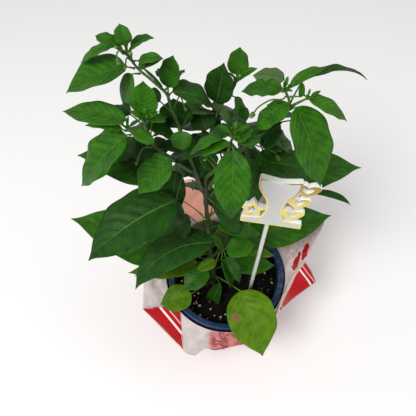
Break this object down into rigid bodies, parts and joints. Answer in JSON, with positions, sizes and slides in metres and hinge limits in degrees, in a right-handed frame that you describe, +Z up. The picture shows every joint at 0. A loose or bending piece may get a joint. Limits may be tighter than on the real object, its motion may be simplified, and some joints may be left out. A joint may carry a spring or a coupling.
{
  "type": "potted chilli pepper plant",
  "caption": "Young chilli pepper plant with forked stems and pointed leaves in a round nursery pot, with a flared film wrap and a decorative plant pick on a stick.",
  "frame": {"origin": "centre of the flat underside of the film wrap, on which the plant stands", "axes": "+Z up along the stem, +X to the right seen from the front, -Y to the front, where the collar is lowest"},
  "size_m": [0.2731, 0.179, 0.42],
  "materials": {
    "leaf": "satin",
    "young_leaf": "satin",
    "pale_leaf": "satin",
    "stem": "satin",
    "bud": "satin",
    "pot": "satin",
    "soil": "matte",
    "wrap": "gloss",
    "pick": "satin"
  },
  "bodies": {
    "root": {"branch_front": "stem", "branch_left": "stem", "branch_left_low": "stem", "branch_right": "stem", "bud_left": "bud", "bud_right": "bud", "leaf_big_1": "leaf", "leaf_big_2": "leaf", "leaf_big_3": "leaf", "leaf_big_4": "leaf", "leaf_big_5": "pale_leaf", "leaf_big_6": "pale_leaf", "leaf_big_7": "pale_leaf", "leaf_big_8": "leaf", "leaf_big_9": "leaf", "leaf_centre_1": "leaf", "leaf_centre_2": "leaf", "leaf_centre_3": "leaf", "leaf_front_1": "young_leaf", "leaf_front_2": "young_leaf", "leaf_front_3": "leaf", "leaf_left_1": "leaf", "leaf_left_10": "leaf", "leaf_left_2": "leaf", "leaf_left_3": "young_leaf", "leaf_left_4": "leaf", "leaf_left_5": "leaf", "leaf_left_6": "leaf", "leaf_left_7": "leaf", "leaf_left_8": "leaf", "leaf_left_9": "leaf", "leaf_low_left_1": "young_leaf", "leaf_low_left_2": "leaf", "leaf_low_left_3": "young_leaf", "leaf_low_left_4": "leaf", "leaf_low_left_5": "leaf", "leaf_low_left_6": "young_leaf", "leaf_low_left_7": "young_leaf", "leaf_middle_1": "leaf", "leaf_middle_2": "leaf", "leaf_right_1": "leaf", "leaf_right_2": "young_leaf", "leaf_right_3": "leaf", "leaf_right_4": "leaf", "leaf_right_5": "young_leaf", "leaf_right_6": "young_leaf", "leaf_right_7": "leaf", "leaf_right_8": "leaf", "leaf_right_9": "leaf", "leaf_shoot_1": "leaf", "leaf_shoot_2": "leaf", "main_stem": "stem", "pick_plate": "pick", "pick_stick": "pick", "pot": "pot", "side_shoot": "stem", "soil": "soil", "twig_left_low": "stem", "twig_right": "stem", "wrap": "wrap"}
  },
  "joints": []
}
